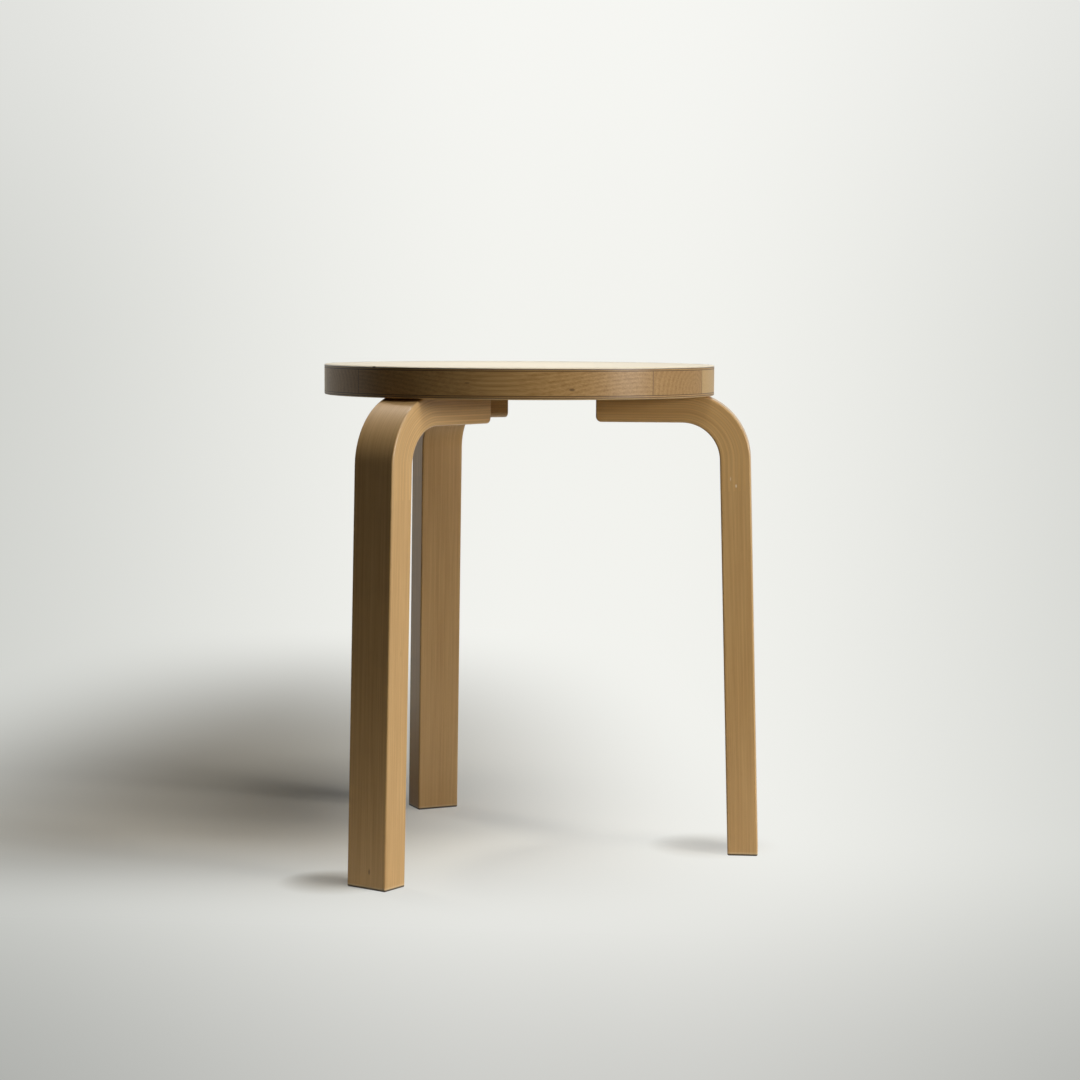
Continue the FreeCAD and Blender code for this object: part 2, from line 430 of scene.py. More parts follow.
@dataclass(frozen=True)
class Glue:
    """The dark glue lines between layers, and how far they darken the wood beside them."""

    half_width: float = 0.00016
    colour: Colour = (0.22, 0.12, 0.045)
    strength: float = 0.75
    edge: Pair = (1.6, 0.4)

    def over(self, sheet: Sheet, colour: Wire, distance: Wire, share: Feed = 1.0) -> Wire:
        """Lay a glue line over a colour.

        Args:
            sheet: The material's nodes.
            colour: The wood's colour.
            distance: How far each point is from the nearest joint.
            share: How much of the line shows.

        Returns:
            The colour with its glue line.
        """
        outer, inner = self.edge
        line = distance.rise(self.half_width * outer, self.half_width * inner)
        return sheet.mix(line * self.strength * share, colour, self.colour)


def new_material(name: str) -> tuple[bpy.types.Material, Sheet]:
    """An empty material and its sheet of nodes.

    Args:
        name: The material's name.

    Returns:
        The material and its sheet.
    """
    material = bpy.data.materials.new(name)
    material.use_nodes = True
    return material, Sheet(material.node_tree)


def close_material(sheet: Sheet, shader: dict[str | int, Feed]) -> None:
    """Add the surface shader, with the given values and wires, and the output."""
    sheet.finish(sheet.wire("ShaderNodeBsdfPrincipled", None, shader))


def lacquered(sheet: Sheet, lacquer: Lacquer, colour: Wire, height: Wire, depth: float) -> None:
    """Finish a wooden surface: the colour under satin lacquer, with its grain as a fine relief.

    Args:
        sheet: The material's nodes.
        lacquer: The finish.
        colour: The wood's colour.
        height: The grain's height from 0 to 1.
        depth: How deep the grain is, in metres.
    """
    close_material(sheet, {
        "Base Color": colour,
        "Roughness": lacquer.roughness + (0.5 - height) * lacquer.uneven,
        "Normal": sheet.bump(lacquer.relief, depth, height),
        "Coat Weight": lacquer.coat,
        "Coat Roughness": lacquer.coat_roughness,
        "Specular IOR Level": lacquer.base_gloss,
    })


@dataclass(frozen=True)
class EndGrain:
    """How the cut ends of the grain look: darker, and speckled with pores."""

    tint: Colour = (0.20, 0.11, 0.045)
    tint_share: float = 0.22
    pores_to_the_metre: float = 2400.0
    pore_edge: Pair = (0.5, 0.75)
    pore_colour: Colour = (0.17, 0.09, 0.035)
    pore_share: float = 0.35

    def over(self, sheet: Sheet, colour: Wire, place: Wire) -> Wire:
        """The colour darkened and speckled."""
        pores = sheet.noise(place, self.pores_to_the_metre, detail=1.0).rise(*self.pore_edge)
        dark = sheet.mix(self.tint_share, colour, self.tint)
        return sheet.mix(pores * self.pore_share, dark, self.pore_colour)


@dataclass(frozen=True)
class BlankFinish:
    """A leg's solid birch or a slip's veneer, in the straight blank's coordinates."""

    wood: Wood
    glue: Glue
    first_joint: float
    joint_pitch: float
    slip_thickness: float
    joint_count: int
    fade_start: float
    fade_end: float
    tip: float
    end_grain: EndGrain = EndGrain()
    end_depth: float = 0.0006
    grain_depth: float = 0.00012
    # The foot's lowest edge: a pale band of painted highlight on its rounding, and below it a dark
    # line of painted shade where it meets the floor.
    painted_highlight_up_to: float = 0.0042
    painted_shade_up_to: float = 0.0018
    painted_shade_edge: Pair = (1.4, 0.6)
    painted_foot_highlight: Colour = (0.80, 0.62, 0.36)
    painted_highlight_share: float = 0.5
    painted_foot_shade: Colour = (0.05, 0.03, 0.015)

    def material(self) -> bpy.types.Material:
        """Build the material."""
        material, sheet = new_material(self.wood.name)
        settings = {"attribute_type": "GEOMETRY", "attribute_name": BLANK_PLACE}
        place = sheet.wire("ShaderNodeAttribute", settings, None, "Vector")
        colour, height = self.wood.tone(sheet, place)
        depth, _, along = sheet.sides(place)
        colour = self._glued(sheet, colour, depth, along)
        at_tip = sheet.math("GREATER_THAN", along, self.tip - self.end_depth)
        colour = sheet.mix(at_tip, colour, self.end_grain.over(sheet, colour, place))
        # Painted highlight and painted shade at the foot's lowest edge.
        colour = self._foot_edge_light_and_shade(sheet, colour)
        lacquered(sheet, self.wood.lacquer, colour, height, self.grain_depth)
        return material

    def _glued(self, sheet: Sheet, colour: Wire, depth: Wire, along: Wire) -> Wire:
        """The colour with the glue lines between tines and slips, which fade out in the shank.

        Args:
            sheet: The material's nodes.
            colour: The wood's colour.
            depth: How deep each point is from the inner face.
            along: Where it is along the blank.

        Returns:
            The colour with its glue lines.
        """
        step = (depth - self.first_joint) % self.joint_pitch
        nearest = step.low(abs(step - self.slip_thickness)).low(self.joint_pitch - step)
        margin = self.glue.half_width * 2
        last_joint = self.first_joint + (self.joint_count - 1) * self.joint_pitch
        last_joint += self.slip_thickness
        inside = sheet.math("GREATER_THAN", depth, self.first_joint - margin)
        inside = inside * sheet.math("LESS_THAN", depth, last_joint + margin)
        share = inside * along.rise(self.fade_start, self.fade_end)
        return self.glue.over(sheet, colour, nearest, share)

    def _foot_edge_light_and_shade(self, sheet: Sheet, colour: Wire) -> Wire:
        """The colour with a painted highlight along the foot's rounded edge and a line of painted
        shade below it, where the foot meets the floor.

        Args:
            sheet: The material's nodes.
            colour: The wood's colour.

        Returns:
            The used colour.
        """
        above_floor = sheet.sides(sheet.point())[2]
        painted_foot_highlight = above_floor.rise(self.painted_highlight_up_to, self.painted_shade_up_to) * self.painted_highlight_share
        outer, inner = self.painted_shade_edge
        painted_shade_line = above_floor.rise(self.painted_shade_up_to * outer, self.painted_shade_up_to * inner)
        return sheet.mix(painted_shade_line, sheet.mix(painted_foot_highlight, colour, self.painted_foot_highlight), self.painted_foot_shade)


@dataclass(frozen=True)
class LayerFinish:
    """A layer of the round top, in coordinates whose third runs along its grain."""

    wood: Wood
    glue: Glue
    axis: Pair
    joints_up: tuple[float, ...]
    grain_across: bool = False
    joints_across: tuple[float, ...] = ()
    joints_across_share: float = 0.6
    end_grain: EndGrain = EndGrain()
    end_facing: Pair = (0.55, 0.92)
    grain_depth: float = 0.00004

    def material(self) -> bpy.types.Material:
        """Build the material."""
        material, sheet = new_material(self.wood.name)
        centred = sheet.moved(sheet.point(), shift=(-self.axis[0], -self.axis[1], 0))
        turn = (math.radians(90), 0, 0) if self.grain_across else (0, math.radians(-90), 0)
        place = sheet.moved(centred, turn=turn)
        colour, height = self.wood.tone(sheet, place)
        facing = abs(sheet.sides(sheet.point("Normal"))[1 if self.grain_across else 0])
        ends = self.end_grain.over(sheet, colour, place)
        colour = sheet.mix(facing.rise(*self.end_facing), colour, ends)
        _, across, up = sheet.sides(centred)
        for joint in self.joints_up:
            colour = self.glue.over(sheet, colour, abs(up - joint))
        for joint in self.joints_across:
            distance = abs(across - joint)
            colour = self.glue.over(sheet, colour, distance, self.joints_across_share)
        lacquered(sheet, self.wood.lacquer, colour, height, self.grain_depth)
        return material


@dataclass(frozen=True)
class ZincSteel:
    """The screws' bright zinc plate, dulled and lightly scratched."""

    name: str = "screw_zinc"
    bright: Colour = (0.62, 0.63, 0.64)
    dull: Colour = (0.42, 0.43, 0.44)
    mottle_to_the_metre: float = 900.0
    scratches_to_the_metre: float = 5200.0
    scratch_along: float = 0.06
    scratch_depth: float = 0.00004
    scratch_strength: float = 0.25
    roughness: float = 0.26
    uneven: float = 0.16

    def material(self) -> bpy.types.Material:
        """Build the material."""
        material, sheet = new_material(self.name)
        point = sheet.point()
        mottle = sheet.noise(point, self.mottle_to_the_metre, detail=3.0)
        drawn_out = sheet.moved(point, scale=(1, self.scratch_along, 1))
        scratches = sheet.noise(drawn_out, self.scratches_to_the_metre, detail=1.0)
        close_material(sheet, {
            "Base Color": sheet.mix(mottle, self.dull, self.bright),
            "Metallic": 1.0,
            "Roughness": self.roughness + mottle * self.uneven,
            "Normal": sheet.bump(self.scratch_strength, self.scratch_depth, scratches),
        })
        return material


@dataclass(frozen=True)
class PaleSweep:
    """The studio's paper floor and backdrop.

    Where the stool's shade falls, the paper is lit and shaded by the lamps. Further off it
    glows for the camera and for reflections alone, and little light comes back from it. Each
    fade gives the places between which its share goes from 0 to 1.
    """

    feet: tuple[Pair, ...]
    name: str = "pale_sweep"
    # The paper is warmer than the glow, which tints the shade where it shows: painted warmth of
    # the shade.
    paper: Colour = (0.88, 0.83, 0.71)
    # The paper that the camera sees grows darker towards the front: painted shade.
    painted_front_shade_paper: Colour = (0.60, 0.57, 0.49)
    far_paper: Colour = (0.02, 0.02, 0.02)
    paper_roughness: float = 0.9
    paper_gloss: float = 0.1
    middle: Colour = (0.89, 0.893, 0.855)
    edge: Colour = (0.62, 0.63, 0.60)
    # The glow is lighter higher up the backdrop (painted light) and darker towards the front
    # (painted shade).
    painted_overhead_light: Colour = (1.0, 1.0, 0.98)
    painted_overhead_light_share: float = 0.3
    painted_front_shade_share: float = 0.34
    bounce_fade: Pair = (0.32, 0.80)
    shade_right: Pair = (0.25, -0.30)
    shade_left: Pair = (-0.85, -0.38)
    shade_front: Pair = (-0.32, 0.05)
    shade_back: Pair = (1.6, 0.3)
    shade_slant: float = 0.15
    foot_shade_reach: Pair = (0.080, 0.010)
    foot_shade_shares: tuple[float, ...] = (0.45, 0.42, 0.85)
    foot_shade_offset: Pair = (-0.040, 0.022)
    fan_point: Pair = (0.2065, -2.2344)
    fan_middle: float = -0.0775
    fan_fade: Pair = (0.02, 0.30)
    painted_front_shade_fade: Pair = (0.1, -0.9)
    painted_front_shade_paper_fade: Pair = (0.0, -0.20)
    painted_overhead_light_fade: Pair = (0.3, 1.6)
    backdrop_fade: Pair = (-1.0, 0.5)

    def material(self) -> bpy.types.Material:
        """Build the material."""
        material, sheet = new_material(self.name)
        point = sheet.point()
        across, back, up = sheet.sides(point)
        level = sheet.moved(point, scale=(1, 1, 0))
        distance = sheet.vector_math("LENGTH", level, output="Value")
        seen = seen_rays(sheet, back.rise(*self.backdrop_fade))
        bounce = sheet.mix(distance.rise(*self.bounce_fade), self.paper, self.far_paper)
        # Painted shade: the seen paper darkens towards the front.
        looks = sheet.mix(back.rise(*self.painted_front_shade_paper_fade), self.paper, self.painted_front_shade_paper)
        paper = sheet.wire("ShaderNodeBsdfPrincipled", None, {
            "Base Color": sheet.mix(seen, bounce, looks),
            "Roughness": self.paper_roughness,
            "Specular IOR Level": self.paper_gloss,
        })
        tint = self._glow(sheet, across, back, up)
        glow = sheet.wire("ShaderNodeEmission", None, {"Color": tint, "Strength": 1.0})
        shade = self._shade(sheet, across, back, level)
        share = seen * (1.0 - shade)
        sheet.finish(sheet.wire("ShaderNodeMixShader", None, {0: share, 1: paper, 2: glow}))
        return material

    def _glow(self, sheet: Sheet, across: Wire, back: Wire, up: Wire) -> Wire:
        """The open paper's colour: a fan of light from the front, brightest along its middle, with
        painted shade towards the front and painted light higher up the backdrop.

        Args:
            sheet: The material's nodes.
            across: How far right each point is.
            back: How far back it is.
            up: How high it is.

        Returns:
            The colour.
        """
        from_point = (across - self.fan_point[0]) / (back - self.fan_point[1])
        beside = abs(from_point - self.fan_middle).rise(*self.fan_fade)
        tint = sheet.mix(beside, self.middle, self.edge)
        # Painted shade towards the front, and painted light higher up.
        front = back.rise(*self.painted_front_shade_fade) * self.painted_front_shade_share
        tint = sheet.mix(front, tint, BLACK)
        above = up.rise(*self.painted_overhead_light_fade) * self.painted_overhead_light_share
        return sheet.mix(above, tint, self.painted_overhead_light)

    def _shade(self, sheet: Sheet, across: Wire, back: Wire, level: Wire) -> Wire:
        """Where the stool's own shadows show, behind it on the left and at its feet.

        Args:
            sheet: The material's nodes.
            across: How far right each point is.
            back: How far back it is.
            level: Its place on the floor.

        Returns:
            The share of the shade, from 0 to 1.
        """
        slanted = across + back * self.shade_slant
        broad = slanted.rise(*self.shade_right) * across.rise(*self.shade_left)
        broad = broad * back.rise(*self.shade_front) * back.rise(*self.shade_back)
        for foot, share in zip(self.feet, self.foot_shade_shares):
            spot = tuple(place + shift for place, shift in zip(foot, self.foot_shade_offset))
            distance = sheet.vector_math("DISTANCE", level, (*spot, 0.0), output="Value")
            broad = broad.high(distance.rise(*self.foot_shade_reach) * share)
        return broad


def seen_rays(sheet: Sheet, backdrop: Wire) -> Wire:
    """1 for what the camera sees, straight or in a reflection or through glass, and else 0.

    Args:
        sheet: The nodes of the floor or of the world.
        backdrop: 1 behind the stool, where reflections show the pale backdrop, and 0 in front.

    Returns:
        The share of the pale colour that a ray sees.
    """
    rays = sheet.node("ShaderNodeLightPath")
    kinds = ("Is Camera Ray", "Is Glossy Ray", "Is Transmission Ray")
    camera, glossy, through = (Wire(sheet, rays.outputs[kind]) for kind in kinds)
    return camera.high(glossy.high(through) * backdrop)


def deselect_all() -> None:
    """Leave nothing selected, so that an operator acts only on what is picked next."""
    bpy.ops.object.select_all(action="DESELECT")


def apply_moves() -> None:
    """Put the selected object's place, turn and size into its mesh."""
    bpy.ops.object.transform_apply(location=True, rotation=True, scale=True)


class Workpiece:
    """One piece on the bench, shaped by the operators of edit mode."""

    def __init__(self, thing: bpy.types.Object, name: str) -> None:
        """Take an object as the piece and give it its name."""
        self.thing = thing
        thing.name = name
        thing.data.name = name

    @classmethod
    def block(cls, name: str, low: Vector, high: Vector) -> "Workpiece":
        """A block between two corners.

        Args:
            name: The piece's name.
            low: The lowest corner.
            high: The highest corner.

        Returns:
            The block.
        """
        deselect_all()
        bpy.ops.mesh.primitive_cube_add(size=1.0, location=(low + high) / 2)
        thing = bpy.context.object
        thing.scale = high - low
        apply_moves()
        return cls(thing, name)

    @classmethod
    def disc(cls, name: str, low: Vector, radius: float, height: float, sides: int) -> "Workpiece":
        """A disc that stands on the middle of its lower face.

        Args:
            name: The piece's name.
            low: The middle of the lower face.
            radius: Its radius.
            height: Its thickness.
            sides: How many sides stand for the round.

        Returns:
            The disc.
        """
        deselect_all()
        bpy.ops.mesh.primitive_cylinder_add(
            vertices=sides, radius=radius, depth=height, location=low + Vector((0, 0, height / 2))
        )
        apply_moves()
        return cls(bpy.context.object, name)

    @classmethod
    def turned(cls, name: str, sections: Sequence[Pair], sides: int) -> "Workpiece":
        """A turned solid about the upright axis, through the given (radius, height) sections.

        Args:
            name: The piece's name.
            sections: The radius and height at each step up.
            sides: How many sides stand for the round.

        Returns:
            The solid.
        """
        radius, height = sections[0]
        deselect_all()
        bpy.ops.mesh.primitive_circle_add(
            vertices=sides, radius=radius, fill_type="NGON", location=(0, 0, height)
        )
        apply_moves()
        piece = cls(bpy.context.object, name)
        for next_radius, next_height in sections[1:]:
            piece.pick_faces(lambda face, top=height: near(face.calc_center_median().z, top))
            piece.extrude(Vector((0, 0, next_height - height)))
            piece.resize(next_radius / radius, Vector((0, 0, next_height)))
            radius, height = next_radius, next_height
        piece.fix_normals()
        return piece

    def _take_up(self) -> None:
        """Select this piece alone, and make it the one that operators work on."""
        deselect_all()
        self.thing.select_set(True)
        bpy.context.view_layer.objects.active = self.thing

    @contextmanager
    def edit_mode(self) -> Iterator[None]:
        """Work on this piece alone in edit mode, and come back out of it."""
        self._take_up()
        bpy.ops.object.mode_set(mode="EDIT")
        yield
        bpy.ops.object.mode_set(mode="OBJECT")

    def pick_faces(self, test: Callable[[bmesh.types.BMFace], bool]) -> None:
        """Select exactly the faces that pass a test."""
        self._pick(Pick.FACES, test)

    def pick_edges(self, test: Callable[[bmesh.types.BMEdge], bool]) -> None:
        """Select exactly the edges that pass a test."""
        self._pick(Pick.EDGES, test)

    def pick_all(self) -> None:
        """Select the whole piece."""
        self._pick(Pick.FACES, lambda face: True)

    def _pick(self, kind: Pick, test: Callable[[object], bool]) -> None:
        """Select exactly the elements of one kind that pass a test.

        Args:
            kind: Whether faces or edges are picked.
            test: True for each one to be picked.
        """
        with self.edit_mode():
            bpy.ops.mesh.select_mode(type=kind.value)
            bpy.ops.mesh.select_all(action="DESELECT")
            shape = bmesh.from_edit_mesh(self.thing.data)
            shape.faces.ensure_lookup_table()
            for element in shape.faces if kind is Pick.FACES else shape.edges:
                if test(element):
                    element.select_set(True)
            shape.select_flush_mode()
            bmesh.update_edit_mesh(self.thing.data)

    def cut(self, point: Vector, normal: Vector) -> None:
        """Cut the selected faces at a plane and keep both sides."""
        with self.edit_mode():
            bpy.ops.mesh.bisect(plane_co=point, plane_no=normal)

    def saw_off(self, point: Vector, normal: Vector) -> None:
        """Take off all that lies on the normal's side of a plane, and close the piece there."""
        self.pick_all()
        with self.edit_mode():
            bpy.ops.mesh.bisect(plane_co=point, plane_no=normal, use_fill=True, clear_outer=True)

    def extrude(self, offset: Vector) -> None:
        """Extrude the selected faces."""
        with self.edit_mode():
            bpy.ops.mesh.extrude_region_move(TRANSFORM_OT_translate={"value": offset})

    def resize(self, factor: float, centre: Vector) -> None:
        """Widen or narrow the selection about an upright axis."""
        with self.edit_mode():
            bpy.ops.transform.resize(value=(factor, factor, 1.0), center_override=centre)

    def bevel(self, width: float, segments: int) -> None:
        """Round the selected edges."""
        with self.edit_mode():
            bpy.ops.mesh.bevel(offset=width, segments=segments, profile=0.5, affect="EDGES")

    def fix_normals(self) -> None:
        """Point all faces outwards."""
        self.pick_all()
        with self.edit_mode():
            bpy.ops.mesh.normals_make_consistent(inside=False)

    def modify(self, kind: str, **settings: object) -> None:
        """Add one modifier, set it and apply it.

        Args:
            kind: The modifier's type.
            settings: Its properties.
        """
        self._take_up()
        modifier = self.thing.modifiers.new(kind.lower(), kind)
        for name, value in settings.items():
            setattr(modifier, name, value)
        bpy.ops.object.modifier_apply(modifier=modifier.name)

    def drill(self, tool: "Workpiece") -> None:
        """Cut a tool's shape out of the piece."""
        self.modify("BOOLEAN", operation="DIFFERENCE", solver="EXACT", object=tool.thing)

    def smooth(self, degrees: float) -> None:
        """Shade smooth where faces meet at less than an angle, and keep flat faces flat.

        Args:
            degrees: The angle.
        """
        self._take_up()
        bpy.ops.object.shade_smooth_by_angle(angle=math.radians(degrees))
        self.modify("WEIGHTED_NORMAL", keep_sharp=True)

    def place(self, matrix: Matrix) -> "Workpiece":
        """Move the piece, put the move into its mesh, and return the piece.

        Args:
            matrix: Where the piece goes.

        Returns:
            This piece.
        """
        self._take_up()
        self.thing.matrix_world = matrix
        apply_moves()
        return self

    def copy(self, name: str) -> "Workpiece":
        """Another piece of the same shape, with its own mesh.

        Args:
            name: Its name.

        Returns:
            The new piece.
        """
        self._take_up()
        bpy.ops.object.duplicate(linked=False)
        return Workpiece(bpy.context.object, name)

    def join(self, others: Sequence["Workpiece"]) -> None:
        """Take other pieces into this one.

        Args:
            others: The pieces to take in.
        """
        self._take_up()
        for other in others:
            other.thing.select_set(True)
        bpy.ops.object.join()

    def keep_blank_place(self, inner_face: float) -> None:
        """Store each point's depth from the inner face, its place across and along the blank.

        Args:
            inner_face: Where the blank's inner face lies.
        """
        mesh = self.thing.data
        kept = mesh.attributes.new(BLANK_PLACE, "FLOAT_VECTOR", "POINT")
        for point, slot in zip(mesh.vertices, kept.data):
            slot.vector = (point.co.x - inner_face, point.co.y, point.co.z)

    def dress(self, finish: bpy.types.Material) -> None:
        """Give the piece its material."""
        self.thing.data.materials.clear()
        self.thing.data.materials.append(finish)

    def remove(self) -> None:
        """Throw the piece away."""
        bpy.data.objects.remove(self.thing)

    def fill_ends(self) -> None:
        """Close the open ends of a swept piece."""
        self.pick_edges(lambda edge: len(edge.link_faces) == 1)
        with self.edit_mode():
            bpy.ops.mesh.edge_face_add()
        self.fix_normals()

    def highest(self) -> float:
        """The height of the piece's highest point."""
        return max(point.co.z for point in self.thing.data.vertices)


def near(first: float, second: float) -> bool:
    """True where two lengths are the same."""
    return abs(first - second) < SAME_PLACE


def fit(piece: Workpiece, nodes: Sequence[str]) -> None:
    """Put a finished piece in its node's place, and report it.

    Args:
        piece: The finished piece.
        nodes: The nodes that it stands for.
    """
    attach(piece.thing, BODY)
    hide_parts(*nodes)
    LOG.info("%s: %d faces", piece.thing.name, len(piece.thing.data.polygons))


def seat_axis() -> Vector:
    """The point where the top's axis meets the floor."""
    low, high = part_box("seat_top_crossband")
    return Vector(((low.x + high.x) / 2, (low.y + high.y) / 2, 0))


@dataclass
class Screws:
    """The countersunk wood screws that hold each arm up to the top."""

    head_radius: float = 0.0044
    head_sink: float = 0.0002
    head_edge: float = 0.0002
    head_height: float = 0.0024
    shank_radius: float = 0.0022
    core_radius: float = 0.0016
    thread_length: float = 0.022
    thread_pitch: float = 0.0018
    thread_share: float = 0.3
    thread_steps: int = 16
    point_length: float = 0.004
    point_radius: float = 0.0003
    recess_reach: float = 0.0025
    recess_width: float = 0.0009
    recess_depth: float = 0.0016
    recess_taper: float = 0.45
    hole_clearance: float = 0.0003
    pilot_clearance: float = 0.0001
    pilot_spare: float = 0.001
    from_tip: float = 0.018
    spacing: float = 0.040
    stagger: float = 0.008
    count: int = 2
    sides: int = 32
    overrun: float = 0.004

    def spots(self) -> list[Pair]:
        """How far from the arm's tip and how far across each screw stands."""
        return [
            (self.from_tip + index * self.spacing, self.stagger * (-1) ** index)
            for index in range(self.count)
        ]

    def length(self) -> float:
        """How far the screws reach up from the arm's underside."""
        low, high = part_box("arm_screws")
        return high.z - low.z + self.head_sink

    def model(self) -> Workpiece:
        """One screw, standing on its head at height zero."""
        top = self.length()
        thread_start = top - self.thread_length
        taper = self.shank_radius - self.core_radius
        screw = Workpiece.turned("arm_wood_screw", [
            (self.head_radius, self.head_sink),
            (self.head_radius, self.head_sink + self.head_edge),
            (self.shank_radius, self.head_sink + self.head_height),
            (self.shank_radius, thread_start),
            (self.core_radius, thread_start + taper),
            (self.core_radius, top - self.point_length),
            (self.point_radius, top),
        ], self.sides)
        for tool in self._recess_tools():
            screw.drill(tool)
            tool.remove()
        screw.smooth(TURNED_CURVE)
        screw.join([self._thread(thread_start + taper, top - self.point_length)])
        return screw

    def _recess_tools(self) -> list[Workpiece]:
        """The two crossed blades that leave the driver's recess, each tapering upwards."""
        blades = []
        for turn in (0, 90):
            low = Vector((-self.recess_reach, -self.recess_width / 2, -self.overrun))
            end = self.head_sink + self.recess_depth
            high = Vector((self.recess_reach, self.recess_width / 2, end))
            blade = Workpiece.block("recess_tool", low, high)
            blade.pick_faces(lambda face: face.normal.z > SQUARE_TO)
            blade.resize(self.recess_taper, Vector((0, 0, end)))
            blade.place(Matrix.Rotation(math.radians(turn), 4, "Z"))
            blades.append(blade)
        return blades

    def _thread(self, start: float, end: float) -> Workpiece:
        """The helical ridge, as a small triangle swept up the core.

        Args:
            start: The height where it starts.
            end: The height where it ends.

        Returns:
            The ridge.
        """
        deselect_all()
        radius = self.thread_pitch * self.thread_share
        bpy.ops.mesh.primitive_circle_add(vertices=3, radius=radius)
        ridge = Workpiece(bpy.context.object, "screw_thread")
        middle = (self.core_radius + self.shank_radius) / 2
        upright = Matrix.Rotation(math.radians(90), 4, "X")
        outward = Matrix.Rotation(math.radians(-90), 4, "Z")
        ridge.place(Matrix.Translation((middle, 0, start)) @ upright @ outward)
        turns = int((end - start) / self.thread_pitch)
        ridge.modify(
            "SCREW", axis="Z", screw_offset=self.thread_pitch, iterations=turns,
            steps=self.thread_steps, render_steps=self.thread_steps, use_normal_calculate=True,
        )
        ridge.fill_ends()
        return ridge

    def hole_tool(self, thickness: float) -> Workpiece:
        """The clearance hole and its countersink through an arm of the given thickness.

        Args:
            thickness: The arm's thickness.

        Returns:
            The tool.
        """
        slope = (self.head_radius - self.shank_radius) / self.head_height
        hole = self.shank_radius + self.hole_clearance
        cone_end = self.head_sink + (self.head_radius - hole) / slope
        return Workpiece.turned("arm_hole_tool", [
            (self.head_radius, -self.overrun),
            (self.head_radius, self.head_sink),
            (hole, cone_end),
            (hole, thickness + self.overrun),
        ], self.sides)

    def pilot_tool(self, start: float) -> Workpiece:
        """The blind hole for a screw's threaded end, from a height above the arm's underside.

        Args:
            start: The height where the hole starts.

        Returns:
            The tool.
        """
        radius = self.core_radius + self.pilot_clearance
        sections = [(radius, start), (radius, self.length() + self.pilot_spare)]
        return Workpiece.turned("pilot_hole_tool", sections, self.sides)


